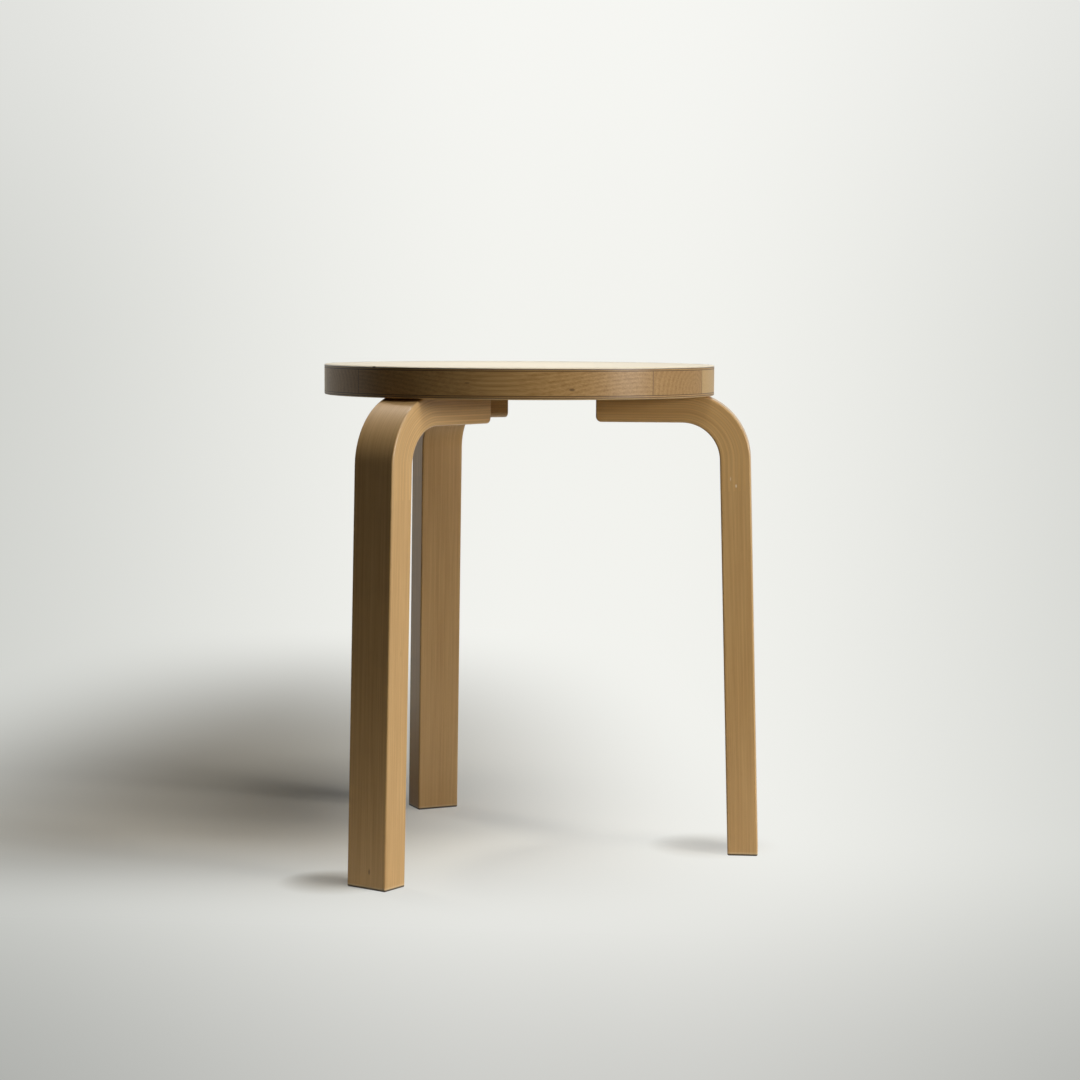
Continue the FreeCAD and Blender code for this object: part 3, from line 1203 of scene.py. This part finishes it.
@dataclass
class BentLegs:
    """The three legs and their slips, made as straight blanks and then bent over.

    In the blank, x runs from the inner face to the outer one about the middle of the
    thickness, y across it, and z along it from the foot, with the bend starting at zero.
    """

    screws: Screws
    slip_count: int = 5
    thickness: float = 0.0272
    tine: float = 0.0025
    knee_inner_radius: float = 0.034
    splay: float = math.radians(1.7)
    foot_reach: float = 0.219
    kerf_run: float = 0.028
    tip_round: float = 0.005
    tip_cuts: int = 6
    arris_round: float = 0.0016
    arris_steps: int = 4
    foot_round: float = 0.0012
    foot_steps: int = 2
    foot_facing: float = 0.99
    knee_cuts: int = 30
    width: float = field(init=False)
    slip: float = field(init=False)
    top_underside: float = field(init=False)
    arm_underside: float = field(init=False)
    arm_tip: float = field(init=False)

    def __post_init__(self) -> None:
        """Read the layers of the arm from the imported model."""
        low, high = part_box("leg_right")
        first_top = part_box("leg_right_slip_1")[1].z
        self.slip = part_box("leg_right_slip_2")[1].z - first_top - self.tine
        self.top_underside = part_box("seat_bottom_veneer")[0].z
        self.arm_underside = first_top - self.pitch
        self.width = high.y - low.y
        self.arm_tip = low.x - seat_axis().x

    @property
    def pitch(self) -> float:
        """One tine and one slip."""
        return self.tine + self.slip

    @property
    def arm_thickness(self) -> float:
        """How thick the arm is where the seat lies on its planed top."""
        return self.top_underside - self.arm_underside

    @property
    def inner_face(self) -> float:
        """Where the blank's inner face lies."""
        return -self.thickness / 2

    @property
    def bend_radius(self) -> float:
        """The radius of the bend at the middle of the thickness."""
        return self.knee_inner_radius + self.thickness / 2

    @property
    def bend_angle(self) -> float:
        """How far the blank is bent, from the leaning shank to the level arm."""
        return math.pi / 2 - self.splay

    @property
    def bend_length(self) -> float:
        """How much of the blank is in the bend."""
        return self.bend_radius * self.bend_angle

    @property
    def knee_centre(self) -> Vector:
        """The centre of the bend, in the right leg's plane, from the seat's axis."""
        height = self.arm_underside - self.knee_inner_radius
        outer = self.knee_inner_radius + self.thickness
        reach = self.foot_reach - (outer + height * math.sin(self.splay)) / math.cos(self.splay)
        return Vector((reach, 0, height))

    @property
    def tip(self) -> float:
        """Where the blank ends, at the arm's tip."""
        return self.bend_length + self.knee_centre.x - self.arm_tip

    def joints(self) -> list[float]:
        """The depth of each face of each slip, from the inner face."""
        starts = [self.tine + index * self.pitch for index in range(self.slip_count)]
        return [depth for start in starts for depth in (start, start + self.slip)]

    def build(self, finish: Callable[[Side, int], bpy.types.Material]) -> None:
        """Make one leg with its slips, and set a copy of each in its three places.

        Args:
            finish: Gives the material of a side's leg, for number 0, or of one of its slips.
        """
        masters = [self._leg()] + [self._slip(index) for index in range(self.slip_count)]
        for side in Side:
            for number, master in enumerate(masters):
                name, node, slot = self._names(side, number)
                piece = master.copy(name)
                piece.place(self.turned_to(side))
                piece.dress(finish(side, number))
                fit(piece, [node])
        for master in masters:
            master.remove()

    @staticmethod
    def _names(side: Side, number: int) -> tuple[str, str, str]:
        """The name, node and slot of a side's leg, for number 0, or of one of its slips.

        Args:
            side: Which leg.
            number: 0 for the leg, and else the slip's number.

        Returns:
            The three names.
        """
        if number:
            piece = f"knee_slip_{side.label}_{number}"
            return piece, f"leg_{side.label}_slip_{number}", "slip_veneer"
        return f"bent_leg_{side.label}", f"leg_{side.label}", "leg_birch"

    def turned_to(self, side: Side) -> Matrix:
        """From the right leg's frame, whose origin is on the seat's axis, to a leg's place."""
        turn = Matrix.Rotation(math.radians(side.value), 4, "Z")
        return Matrix.Translation(seat_axis()) @ turn

    def _leg(self) -> Workpiece:
        """The solid leg with its upper end sawn open, bent over."""
        foot = Vector((0, 0, -self.knee_centre.z - self.bend_radius * math.sin(self.splay)))
        foot = foot / math.cos(self.splay)
        spare = self.thickness
        half = Vector((self.thickness / 2, self.width / 2, 0))
        low = Vector((-half.x, -half.y, foot.z - spare))
        leg = Workpiece.block("leg", low, half - Vector((0, 0, self.kerf_run)))
        self._saw_kerfs(leg)
        leg.saw_off(foot, Vector((-math.sin(self.splay), 0, -math.cos(self.splay))))
        self._finish_blank(leg)
        leg.pick_edges(self._is_foot_edge)
        leg.bevel(self.foot_round, self.foot_steps)
        self._bend(leg)
        return leg

    def _slip(self, index: int) -> Workpiece:
        """One slip of veneer, which fills its kerf from end to end.

        Args:
            index: Its number, from 0 for the innermost.

        Returns:
            The bent slip.
        """
        start = self.inner_face + self.tine + index * self.pitch
        low = Vector((start, -self.width / 2, -self.kerf_run))
        high = Vector((start + self.slip, self.width / 2, self.tip))
        slip = Workpiece.block(f"slip_{index + 1}", low, high)
        self._finish_blank(slip)
        self._bend(slip)
        return slip

    def _saw_kerfs(self, leg: Workpiece) -> None:
        """Part the blank's upper face at every joint, and draw the tines up to the tip.

        Args:
            leg: The straight blank.
        """
        def at_top(face: bmesh.types.BMFace) -> bool:
            """True for the blank's upper end."""
            return face.normal.z > SQUARE_TO

        def on_tine(face: bmesh.types.BMFace) -> bool:
            """True for the part of the upper end that a tine grows from."""
            depth = face.calc_center_median().x - self.inner_face
            past_slips = depth > self.slip_count * self.pitch
            return at_top(face) and (past_slips or depth % self.pitch < self.tine)

        for depth in self.joints():
            leg.pick_faces(at_top)
            leg.cut(Vector((self.inner_face + depth, 0, 0)), Vector((1, 0, 0)))
        leg.pick_faces(on_tine)
        leg.extrude(Vector((0, 0, self.kerf_run + self.tip)))

    def _finish_blank(self, piece: Workpiece) -> None:
        """Round the tip's lower corner and the arrises, and drill for the screws.

        Args:
            piece: The straight leg or slip.
        """
        centre = Vector((self.inner_face + self.tip_round, 0, self.tip - self.tip_round))
        for step in range(1, self.tip_cuts):
            turn = math.pi / 2 * step / self.tip_cuts
            normal = Vector((-math.cos(turn), 0, math.sin(turn)))
            piece.saw_off(centre + normal * self.tip_round, normal)
        piece.pick_edges(self._is_arris)
        piece.bevel(self.arris_round, self.arris_steps)
        for from_tip, across in self.screws.spots():
            tool = self.screws.hole_tool(self.thickness)
            spot = Vector((self.inner_face, across, self.tip - from_tip))
            through = Matrix.Rotation(math.radians(90), 4, "Y")
            tool.place(Matrix.Translation(spot) @ through)
            piece.drill(tool)
            tool.remove()

    def _is_arris(self, edge: bmesh.types.BMEdge) -> bool:
        """True for an edge where a side meets the inner face, the outer face or the tip.

        Args:
            edge: An edge of the blank.

        Returns:
            Whether it is such an edge.
        """
        sides = [face for face in edge.link_faces if abs(face.normal.y) > SQUARE_TO]
        others = [face for face in edge.link_faces if abs(face.normal.y) <= SQUARE_TO]
        if len(sides) != 1 or len(others) != 1:
            return False
        middle = others[0].calc_center_median()
        is_wall = abs(others[0].normal.x) > SQUARE_TO
        at_face = is_wall and near(abs(middle.x), self.thickness / 2)
        at_tip = not is_wall and middle.z > self.tip - self.tip_round
        return at_face or at_tip

    def _is_foot_edge(self, edge: bmesh.types.BMEdge) -> bool:
        """True for an edge round the foot's end, which leans a little from the blank's axis."""
        down = [face for face in edge.link_faces if face.normal.z < -self.foot_facing]
        return len(down) == 1

    def _bend(self, piece: Workpiece) -> None:
        """Bend the blank over, and lean it so that the arm is level.

        Args:
            piece: The straight leg or slip.
        """
        for step in range(self.knee_cuts + 1):
            piece.pick_all()
            height = self.bend_length * step / self.knee_cuts
            piece.cut(Vector((0, 0, height)), Vector((0, 0, 1)))
        piece.keep_blank_place(self.inner_face)
        heights = [point.co.z for point in piece.thing.data.vertices]
        low, length = min(heights), max(heights) - min(heights)
        limits = (-low / length, (self.bend_length - low) / length)
        piece.modify(
            "SIMPLE_DEFORM", deform_method="BEND", deform_axis="Y",
            angle=-self.bend_angle, limits=limits,
        )
        lean = Matrix.Rotation(-self.splay, 4, "Y")
        bend_centre = Vector((-self.bend_radius, 0, 0))
        piece.place(Matrix.Translation(self.knee_centre - lean @ bend_centre) @ lean)
        if piece.highest() > self.top_underside + SAME_PLACE:
            piece.saw_off(Vector((0, 0, self.top_underside)), Vector((0, 0, 1)))
        piece.smooth(WOOD_CURVE)


@dataclass
class RoundTop:
    """The round top: face veneers and crossbands over a core of glued staves."""

    sides: int = 192
    edge_round: float = 0.0011
    edge_steps: int = 3
    stave_count: int = 6

    @property
    def radius(self) -> float:
        """The top's radius."""
        low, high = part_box("seat_top_crossband")
        return (high.x - low.x) / 2

    def build(self, finish: Callable[[str], bpy.types.Material], pilots: Workpiece) -> None:
        """Make every layer and stave.

        Args:
            finish: Gives the material for a node.
            pilots: The tool that leaves the screws' pilot holes.
        """
        for node, slot in self._slots().items():
            piece = self._stave(node) if node in self._staves() else self._layer(node)
            if slot == "face_veneer":
                low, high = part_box(node)
                self._round_rim(piece, high.z if node == "seat_top_veneer" else low.z)
            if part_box(node)[0].z < pilots.highest():
                piece.drill(pilots)
            piece.smooth(WOOD_CURVE)
            piece.dress(finish(node))
            fit(piece, [node])
        pilots.remove()

    def _staves(self) -> list[str]:
        """The staves' nodes, in their order across the seat."""
        return [f"seat_stave_{number}" for number in range(1, self.stave_count + 1)]

    def _slots(self) -> dict[str, str]:
        """The slot of every node of the top."""
        layers = {
            "seat_top_veneer": "face_veneer",
            "seat_top_crossband": "crossband",
            "seat_bottom_crossband": "crossband",
            "seat_bottom_veneer": "face_veneer",
        }
        return layers | dict.fromkeys(self._staves(), "seat_core")

    def _layer(self, node: str) -> Workpiece:
        """A full disc in the place of one node.

        Args:
            node: The layer's node.

        Returns:
            The disc.
        """
        low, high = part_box(node)
        base = seat_axis() + Vector((0, 0, low.z))
        name = node.removeprefix("seat_")
        return Workpiece.disc(name, base, self.radius, high.z - low.z, self.sides)

    def _round_rim(self, disc: Workpiece, height: float) -> None:
        """Round a disc's edge at one height."""
        disc.pick_edges(lambda edge: all(near(point.co.z, height) for point in edge.verts))
        disc.bevel(self.edge_round, self.edge_steps)

    def _stave(self, node: str) -> Workpiece:
        """One stave, sawn out of the core's disc at its joints.

        Args:
            node: The stave's node.

        Returns:
            The stave.
        """
        low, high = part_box(node)
        stave = self._layer(node)
        if node != self._staves()[0]:
            stave.saw_off(low, Vector((0, -1, 0)))
        if node != self._staves()[-1]:
            stave.saw_off(high, Vector((0, 1, 0)))
        return stave


@dataclass(frozen=True)
class SoftLamp:
    """A rectangular soft lamp.

    Its azimuth and height give the way to it, and those of along the way that its long side
    runs. They and its spread are in degrees, and its power is in watts.
    """

    name: str
    azimuth: float
    height: float
    length: float
    width: float
    power: float
    along_azimuth: float
    along_height: float
    aim: Triple = (0.0, 0.0, 0.25)
    distance: float = 2.2
    spread: float = 180.0

    @staticmethod
    def towards(azimuth: float, height: float) -> Vector:
        """The direction from the stool at an azimuth and a height above the floor."""
        turn = Matrix.Rotation(math.radians(azimuth), 3, "Z")
        return turn @ Matrix.Rotation(math.radians(-height), 3, "Y") @ Vector((1, 0, 0))

    def hang(self) -> None:
        """Hang the lamp at its distance from the point that it faces."""
        aim = Vector(self.aim)
        back = self.towards(self.azimuth, self.height)
        along = self.towards(self.along_azimuth, self.along_height)
        long_side = (along - back * along.dot(back)).normalized()
        bpy.ops.object.light_add(type="AREA", location=aim + back * self.distance)
        lamp = bpy.context.object
        lamp.name = self.name
        axes = Matrix((long_side, back.cross(long_side), back)).transposed()
        lamp.rotation_euler = axes.to_euler()
        lamp.data.shape = "RECTANGLE"
        lamp.data.size = self.length
        lamp.data.size_y = self.width
        lamp.data.energy = self.power
        lamp.data.spread = math.radians(self.spread)


@dataclass
class Studio:
    """The pale floor and backdrop, the lamps and the photograph's camera."""

    floor_drop: float = 0.0002
    floor_half_width: float = 7.0
    floor_front: float = 7.0
    sweep_start: float = 3.2
    sweep_radius: float = 2.0
    sweep_steps: int = 32
    wall_height: float = 5.0
    camera_place: Triple = (0.2065, -2.2344, 0.4772)
    camera_azimuth: float = math.radians(95.35)
    camera_pitch: float = math.radians(-4.989)
    camera_roll: float = math.radians(0.256)
    camera_lens: float = 82.97
    camera_reach: float = 50.0
    sensor: float = 36.0
    lamps: tuple[SoftLamp, ...] = (
        SoftLamp(
            name="strip_lamp", azimuth=-32, height=30, length=1.7, width=0.45, power=11,
            along_azimuth=-30, along_height=5,
        ),
        SoftLamp(
            name="low_lamp", azimuth=-20, height=11, length=0.8, width=0.35, power=23,
            along_azimuth=70, along_height=0,
        ),
        SoftLamp(
            name="steep_lamp", azimuth=-60, height=66, length=0.8, width=0.8, power=14,
            along_azimuth=30, along_height=0,
        ),
        SoftLamp(
            name="top_lamp", azimuth=140, height=64, length=0.30, width=0.30, power=0.34,
            along_azimuth=45, along_height=0, aim=(-0.01, -0.03, 0.43), spread=15,
        ),
    )
    ambient: Colour = (0.004, 0.004, 0.004)
    beyond: Colour = (0.80, 0.80, 0.78)
    beyond_fade: Pair = (-0.2, 0.3)

    def build(self, finish: bpy.types.Material) -> None:
        """Set up the studio, with its floor and backdrop in the given finish."""
        bpy.context.scene.view_settings.view_transform = "Standard"
        self._sweep(finish)
        for lamp in self.lamps:
            lamp.hang()
        self._world()
        self._camera()

    def _sweep(self, finish: bpy.types.Material) -> None:
        """The floor, whose back edge is spun up into a wall.

        Args:
            finish: The paper's material.
        """
        deselect_all()
        bpy.ops.mesh.primitive_plane_add(size=1.0)
        depth = self.floor_front + self.sweep_start
        thing = bpy.context.object
        thing.scale = (2 * self.floor_half_width, depth, 1)
        thing.location = (0, self.sweep_start - depth / 2, -self.floor_drop)
        apply_moves()
        sweep = Workpiece(thing, "studio_sweep")
        back = self.sweep_start
        sweep.pick_edges(lambda edge: all(near(point.co.y, back) for point in edge.verts))
        with sweep.edit_mode():
            centre = Vector((0, self.sweep_start, self.sweep_radius))
            quarter = math.pi / 2
            bpy.ops.mesh.spin(
                steps=self.sweep_steps, angle=quarter, center=centre, axis=(-1, 0, 0)
            )
            rise = Vector((0, 0, self.wall_height))
            bpy.ops.mesh.extrude_region_move(TRANSFORM_OT_translate={"value": rise})
        sweep.smooth(TURNED_CURVE)
        sweep.dress(finish)

    def _world(self) -> None:
        """Pale where the camera or a reflection sees past the sweep, and dim as a lamp."""
        world = bpy.data.worlds.new("studio_air")
        bpy.context.scene.world = world
        world.use_nodes = True
        sheet = Sheet(world.node_tree)
        back = sheet.sides(sheet.point("Generated"))[1]
        seen = seen_rays(sheet, back.rise(*self.beyond_fade))
        colour = sheet.mix(seen, self.ambient, self.beyond)
        air = sheet.wire("ShaderNodeBackground", None, {"Color": colour, "Strength": 1.0})
        sheet.node("ShaderNodeOutputWorld", None, {"Surface": air})

    def _camera(self) -> None:
        """The camera at the photograph's viewing angle."""
        turn = Matrix.Rotation(self.camera_azimuth - math.pi / 2, 4, "Z")
        tilt = Matrix.Rotation(math.pi / 2 + self.camera_pitch, 4, "X")
        roll = Matrix.Rotation(self.camera_roll, 4, "Z")
        bpy.ops.object.camera_add()
        camera = bpy.context.object
        camera.name = "camera"
        camera.matrix_world = Matrix.Translation(self.camera_place) @ turn @ tilt @ roll
        camera.data.sensor_width = self.sensor
        camera.data.lens = self.camera_lens
        camera.data.clip_end = self.camera_reach
        bpy.context.scene.camera = camera


@dataclass
class Stool:
    """The whole stool: its top, its legs with their slips, and its screws."""

    screws: Screws = field(default_factory=Screws)

    # How the wood of each kind of piece departs from the legs' own.
    SLIP: ClassVar[Tones] = {"pale": (0.73, 0.47, 0.195), "deep": (0.57, 0.33, 0.115)}
    CROSSBAND: ClassVar[Tones] = {"pale": (0.60, 0.38, 0.16), "deep": (0.44, 0.25, 0.09)}
    # The top veneer is paler partly by its own tone and partly by painted sheen, the lacquer's
    # reflection seen at a low angle.
    TOP_VENEER: ClassVar[Tones] = {"pale": (0.88, 0.77, 0.57), "deep": (0.78, 0.65, 0.44)}
    BOTTOM_VENEER: ClassVar[Tones] = {"pale": (0.68, 0.47, 0.23), "deep": (0.54, 0.34, 0.14)}
    COMMON_STAVE: ClassVar[Tones] = {"pale": (0.54, 0.33, 0.125), "deep": (0.30, 0.155, 0.045)}
    STAVE_TONES: ClassVar[dict[int, Tones]] = {
        3: {"pale": (0.70, 0.48, 0.22), "deep": (0.54, 0.34, 0.13)},
    }
    STAVE_GRAIN: ClassVar[dict[int, dict[str, object]]] = {
        2: {"pith": (-0.4215, -0.070), "ring_share": 0.28, "ring_pitch": 0.0044},
        1: {"pith": (-0.300, -0.120), "ring_share": 0.28, "ring_pitch": 0.0036},
    }

    # How far apart in the timber the legs, the slips of one leg, and the staves are cut.
    LEG_STEP: ClassVar[Triple] = (0.31, 0.17, 0.9)
    SLIP_STEP: ClassVar[Triple] = (0.043, 0.091, 0.0)
    STAVE_START: ClassVar[Triple] = (0.0, 0.4, 0.0)
    STAVE_STEP: ClassVar[Triple] = (0.23, 0.0, 1.7)

    THIN_COAT: ClassVar[Lacquer] = Lacquer(coat=0.35)
    TOP_COAT: ClassVar[Lacquer] = Lacquer(coat_roughness=0.34)
    LEG_GLUE: ClassVar[Glue] = Glue(strength=0.35)
    TOP_GLUE: ClassVar[Glue] = Glue(half_width=0.00042, colour=(0.09, 0.045, 0.015), strength=0.85)

    # Where along the bend the slips' glue lines start to show and show in full.
    GLUE_FADE: ClassVar[Pair] = (-0.2, 0.6)

    # The marks that the photograph shows, in the coordinates of each piece's own wood.
    RIM_MARKS: ClassVar[dict[str, tuple[Mark, ...]]] = {
        "seat_stave_1": (
            Mark((-0.4215, -0.1641, 0.0609), (0.0015, 0.005, 0.0034), (0.10, 0.05, 0.02), 0.75),
            Mark((-0.4269, -0.1730, -0.0261), (0.0008, 0.005, 0.0032), (0.10, 0.05, 0.02), 0.6),
        ),
        "seat_top_veneer": (
            Mark((-0.4391, -0.1358, -0.1104), (0.0010, 0.004, 0.0025), (0.12, 0.07, 0.03), 0.9),
        ),
    }
    LEG_MARKS: ClassVar[dict[Side, tuple[Mark, ...]]] = {
        Side.FRONT: (
            Mark((0.0272, 0.0034, -0.342), (0.004, 0.0013, 0.0034), (0.12, 0.07, 0.03), 0.6),
        ),
        Side.RIGHT: (
            Mark((0.0088, -0.0207, -0.0169), (0.0010, 0.003, 0.0026), (0.95, 0.86, 0.68), 0.7),
            Mark((0.0140, -0.0207, -0.0233), (0.0009, 0.003, 0.0020), (0.95, 0.86, 0.68), 0.7),
        ),
    }

    def build(self) -> tuple[Pair, ...]:
        """Make and dress every piece, and return where the feet stand."""
        legs = BentLegs(self.screws)
        legs.build(lambda side, number: self._leg_finish(legs, side, number))
        RoundTop().build(self._top_finish, self._pilots(legs))
        self._set_screws(legs)
        foot = Vector((legs.foot_reach - legs.thickness / 2, 0, 0))
        return tuple(tuple((legs.turned_to(side) @ foot).xy) for side in Side)

    def _screw_places(self, legs: BentLegs) -> list[Matrix]:
        """Where every screw stands, at its arm's underside.

        Args:
            legs: The legs that the screws hold.

        Returns:
            The places.
        """
        places = []
        for side in Side:
            for from_tip, across in self.screws.spots():
                spot = Vector((legs.arm_tip + from_tip, across, legs.arm_underside))
                places.append(legs.turned_to(side) @ Matrix.Translation(spot))
        return places

    def _pilots(self, legs: BentLegs) -> Workpiece:
        """All the pilot holes as one tool.

        Args:
            legs: The legs that the screws hold.

        Returns:
            The tool.
        """
        start = legs.arm_thickness - self.screws.overrun
        places = self._screw_places(legs)
        tools = [self.screws.pilot_tool(start).place(place) for place in places]
        tools[0].join(tools[1:])
        return tools[0]

    def _set_screws(self, legs: BentLegs) -> None:
        """Set a copy of the screw in every place, all as one piece, as their node is.

        Args:
            legs: The legs that the screws hold.
        """
        master = self.screws.model()
        places = self._screw_places(legs)
        copies = [master.copy("arm_wood_screws").place(place) for place in places]
        copies[0].join(copies[1:])
        master.remove()
        copies[0].dress(ZincSteel().material())
        copies[0].thing.name = "arm_wood_screws"
        fit(copies[0], ["arm_screws"])

    def _leg_finish(self, legs: BentLegs, side: Side, number: int) -> bpy.types.Material:
        """The material of one leg, or of one of its slips.

        Args:
            legs: The legs.
            side: Which leg.
            number: 0 for the leg, and else the slip's number.

        Returns:
            The material.
        """
        index = list(Side).index(side)
        steps = zip(self.LEG_STEP, self.SLIP_STEP)
        cut_from = tuple(leg * index + slip * number for leg, slip in steps)
        if number:
            wood = Wood(name=f"slip_{side.label}_{number}", cut_from=cut_from, **self.SLIP)
        else:
            marks = self.LEG_MARKS.get(side, ())
            wood = Wood(name=f"birch_{side.label}", cut_from=cut_from, marks=marks)
        fade_start, fade_end = (share * legs.bend_length for share in self.GLUE_FADE)
        return BlankFinish(
            wood=wood,
            glue=self.LEG_GLUE,
            first_joint=legs.tine,
            joint_pitch=legs.pitch,
            slip_thickness=legs.slip,
            joint_count=legs.slip_count,
            fade_start=fade_start,
            fade_end=fade_end,
            tip=legs.tip,
        ).material()

    def _top_finish(self, node: str) -> bpy.types.Material:
        """The material of one layer or stave of the top.

        Args:
            node: The layer's or stave's node.

        Returns:
            The material.
        """
        axis = seat_axis()
        core_low, core_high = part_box("seat_stave_3")
        joints_up = (
            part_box("seat_top_veneer")[0].z,
            core_high.z,
            core_low.z,
            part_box("seat_bottom_veneer")[1].z,
        )
        is_stave = node.startswith("seat_stave")
        return LayerFinish(
            wood=self._stave_wood(node) if is_stave else self._layer_wood(node),
            glue=self.TOP_GLUE,
            axis=(axis.x, axis.y),
            joints_up=joints_up,
            grain_across="crossband" in node,
            joints_across=self._sawn_sides(node, axis.y) if is_stave else (),
        ).material()

    def _sawn_sides(self, node: str, middle: float) -> tuple[float, ...]:
        """Where a stave is glued to its neighbours, from the middle of the top.

        Args:
            node: The stave's node.
            middle: Where the top's middle is.

        Returns:
            The places of its joints.
        """
        number = int(node[-1])
        low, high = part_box(node)
        sides = [low.y] * (number > 1) + [high.y] * (number < RoundTop.stave_count)
        return tuple(place - middle for place in sides)

    def _stave_wood(self, node: str) -> Wood:
        """The wood of one stave.

        Args:
            node: The stave's node.

        Returns:
            The wood.
        """
        number = int(node[-1])
        steps = zip(self.STAVE_START, self.STAVE_STEP)
        return Wood(
            name=f"stave_birch_{number}",
            cut_from=tuple(start + step * number for start, step in steps),
            marks=self.RIM_MARKS.get(node, ()),
            lacquer=self.THIN_COAT,
            **self.STAVE_GRAIN.get(number, {}),
            **self.STAVE_TONES.get(number, self.COMMON_STAVE),
        )

    def _layer_wood(self, node: str) -> Wood:
        """The wood of one crossband or face veneer.

        Args:
            node: The layer's node.

        Returns:
            The wood.
        """
        name = node.removeprefix("seat_") + "_birch"
        if "crossband" in node:
            return Wood(name=name, lacquer=self.THIN_COAT, **self.CROSSBAND)
        is_top = node == "seat_top_veneer"
        tones = self.TOP_VENEER if is_top else self.BOTTOM_VENEER
        return Wood(
            name=name,
            line_share=0.6,
            band_share=0.5,
            marks=self.RIM_MARKS.get(node, ()),
            lacquer=self.TOP_COAT if is_top else self.THIN_COAT,
            **tones,
        )


def main() -> None:
    """Build the stool and its studio."""
    logging.basicConfig(level=logging.INFO, format="%(name)s: %(message)s")
    feet = Stool().build()
    Studio().build(PaleSweep(feet).material())


if __name__ == "__main__":
    main()
